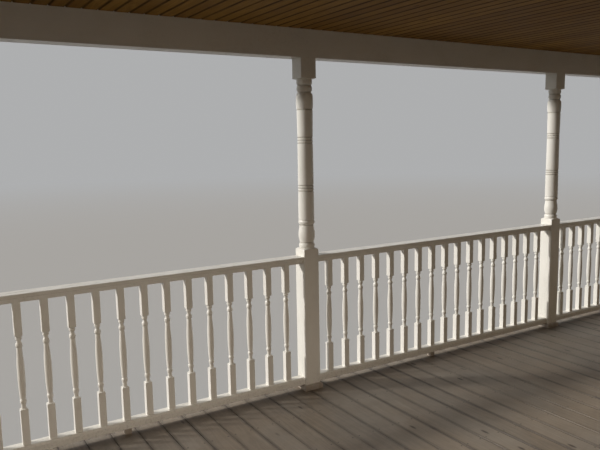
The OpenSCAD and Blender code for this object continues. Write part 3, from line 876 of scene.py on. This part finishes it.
def make_gable_boards(material):
    """Lapped boards on both ends, cut to the roof's slope."""
    mesh = bmesh.new()
    outside = gable_high.x
    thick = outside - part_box("rafters")[1].x
    beam_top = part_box("front_beam")[1].z
    rows = [(gable_low.z, beam_top, casing_low.y)]
    z = beam_top
    while z < gable_high.z:
        rows.append((z, z + SIDING_SHOWN, gable_high.y))
        z += SIDING_SHOWN
    for low_z, high_z, back_y in rows:
        verts = add_block(mesh, (outside - thick, gable_low.y, low_z), (outside, back_y, high_z))
        for vert in verts:
            if near(vert.co.x, outside) and near(vert.co.z, high_z):
                vert.co.x -= thick * SIDING_TAPER
    saw(mesh, on_roof(0, 0, 0), OFF_SLOPE)
    bmesh.ops.mirror(mesh, geom=all_of(mesh), axis="X", merge_dist=-1)
    bmesh.ops.recalc_face_normals(mesh, faces=mesh.faces[:])
    new_piece("gable_boards", mesh, material, "white_paint", "gable_ends")


# Stage and light

GROUND = (0.42, 0.425, 0.43)
GROUND_LIGHT = (0.07, 0.066, 0.058)
STAGE_RADIUS = 60.0
FADE_FROM, FADE_TO = 9.0, 40.0

WORLD_STRENGTH = 0.80
HOUSE_SHARE = 0.29
OPEN_LIGHT = (1.0, 0.99, 0.975)
HOUSE_LIGHT = (1.0, 0.76, 0.51)

SUN_TOWARDS = (-0.80, 0.44, -0.40)
SUN_STRENGTH = 3.0
SUN_WIDTH = math.radians(6.0)
SUN_LIGHT = (1.0, 0.97, 0.92)

BOUNCE_PLACE = (2.6, wall_y + 0.3, floor_top + 1.0)
BOUNCE_TOWARDS = (0, -1, -0.5)
BOUNCE_SIZE = (3.0, 0.6)
BOUNCE_SPREAD = math.radians(80)
BOUNCE_WATTS = 8.0
BOUNCE_LIGHT = (1.0, 0.90, 0.80)


def make_stage():
    """Pale ground that fades into the pale backdrop; it only catches shadows."""
    mesh = bmesh.new()
    bmesh.ops.create_circle(mesh, cap_ends=True, segments=96, radius=STAGE_RADIUS)
    ground = put_in_scene("ground", as_mesh(mesh, "ground"))
    f = Finish("pale_ground")
    distance = f.node("ShaderNodeVectorMath", {"operation": "LENGTH"}, {0: f.place}, "Value")
    colour = f.mix(f.seen(), GROUND_LIGHT, GROUND)
    f.finish(colour, 0.95, Specular_IOR_Level=0.0)
    glow = f.node("ShaderNodeEmission", None, {"Color": colour, "Strength": 1.0})
    blend = f.node("ShaderNodeMixShader", None, {
        0: distance.step(FADE_FROM, FADE_TO), 1: Value(f, f.shader.outputs[0]), 2: glow})
    f.feed(f.tree.nodes["Material Output"].inputs["Surface"], blend)
    ground.data.materials.append(f.material)


def make_world():
    """Soft white light, less of it from the house side, where a wall would stand.

    The camera and reflections see the pale backdrop.
    """
    world = bpy.data.worlds.new("studio")
    bpy.context.scene.world = world
    world.use_nodes = True
    world.node_tree.nodes.clear()
    tree = Tree(world.node_tree)
    house = tree.parts(tree.node("ShaderNodeTexCoord", out="Generated"))[1].step(-0.25, 0.35)
    light = tree.node("ShaderNodeBackground", None, {
        "Color": tree.mix(house, OPEN_LIGHT, HOUSE_LIGHT),
        "Strength": (1 - house * (1 - HOUSE_SHARE)) * WORLD_STRENGTH})
    seen = tree.node("ShaderNodeBackground", None, {"Color": rgba(GROUND), "Strength": 1.0})
    pick = tree.node("ShaderNodeMixShader", None, {0: tree.seen(), 1: light, 2: seen})
    tree.node("ShaderNodeOutputWorld", None, {"Surface": pick})


def hang_lamp(lamp, strength, colour, towards):
    """Puts a lamp in the scene and aims it."""
    lamp.energy = strength
    lamp.color = colour
    holder = put_in_scene(lamp.name, lamp)
    holder.rotation_euler = Vector(towards).to_track_quat("-Z", "Y").to_euler()
    return holder


def make_sun():
    """The key light, low and from the street side."""
    lamp = bpy.data.lights.new("sun", "SUN")
    lamp.angle = SUN_WIDTH
    hang_lamp(lamp, SUN_STRENGTH, SUN_LIGHT, SUN_TOWARDS)


def make_bounce():
    """Soft light from the house side on the near bay's railing and the floor before it."""
    lamp = bpy.data.lights.new("bounce", "AREA")
    lamp.shape = "RECTANGLE"
    lamp.size, lamp.size_y = BOUNCE_SIZE
    lamp.spread = BOUNCE_SPREAD
    holder = hang_lamp(lamp, BOUNCE_WATTS, BOUNCE_LIGHT, BOUNCE_TOWARDS)
    holder.location = BOUNCE_PLACE
    holder.visible_camera = False
    holder.visible_glossy = False


# The photograph's view, from inside the porch over the railing: place in metres,
# then turn towards -X, tilt down and roll in degrees, and focal length in pixels

VIEW_PLACE = (3.363, 1.838, 2.229)
VIEW_TURN = 31.50
VIEW_DOWN = 7.54
VIEW_ROLL = 1.05
FOCAL_PIXELS = 632.3
IMAGE_WIDTH = 600
SENSOR = 36.0


def make_camera():
    data = bpy.data.cameras.new("camera")
    data.sensor_width = SENSOR
    data.lens = FOCAL_PIXELS * SENSOR / IMAGE_WIDTH
    data.clip_start = 0.05
    data.clip_end = 200.0
    turn, down, roll = (math.radians(v) for v in (VIEW_TURN, VIEW_DOWN, VIEW_ROLL))
    ahead = Vector((-math.sin(turn) * math.cos(down), -math.cos(turn) * math.cos(down),
                    -math.sin(down)))
    right = Vector((-math.cos(turn), math.sin(turn), 0.0))
    up = right.cross(ahead)
    across = right * math.cos(roll) - up * math.sin(roll)
    upward = up * math.cos(roll) + right * math.sin(roll)
    basis = Matrix((across, upward, -ahead)).transposed()
    camera = put_in_scene("camera", data)
    camera.matrix_world = Matrix.Translation(VIEW_PLACE) @ basis.to_4x4()
    bpy.context.scene.camera = camera


# The whole porch

cap_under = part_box("top_rail_1")[1].z - CAP_THICK
paint_x = white_paint("white_paint_along_x", "x")
paint_y = white_paint("white_paint_along_y", "y")
paint_z = white_paint("white_paint_upright", "z")
# The posts' paint darkens their grooves and coves as painted shade.
post_paint = white_paint("white_post_paint", "z", [floor_top + z for z in post_seams()], 0.0052)
timber_x = sawn_timber("sawn_timber_along_x", "x")
timber_y = sawn_timber("sawn_timber_along_y", "y")

# The caps' paint darkens the joint under the nosing as painted shade.
dress(white_paint("white_cap_along_x", "x", [cap_under]), "top_rail_1", "top_rail_2", "top_rail_3")
dress(white_paint("white_cap_along_y", "y", [cap_under]), "left_top_rails", "right_top_rails")
dress(paint_x, "bottom_rail_1", "bottom_rail_2", "bottom_rail_3", "front_skirt", "front_casing",
      "fascia", "soffit")
dress(paint_y, "left_bottom_rails", "right_bottom_rails", "end_skirts", "side_casings",
      "barge_boards")
dress(paint_z, "rail_blocks")
dress(timber_y, "girders", "side_beams", "rafters", "ceiling_joists")
dress(timber_x, "floor_joists", "floor_ledger", "front_beam", "ceiling_battens", "roof_ledgers")

make_posts(post_paint)
make_balusters(paint_z)
make_piers(cast_concrete())
make_floor_boards(floor_stain())
make_ceiling_boards(ceiling_varnish())
make_roof_boards(timber_x)
make_shingles(shingle_grit())
make_gable_boards(paint_y)

make_stage()
make_world()
make_sun()
make_bounce()
make_camera()
bpy.context.scene.view_settings.view_transform = "Standard"
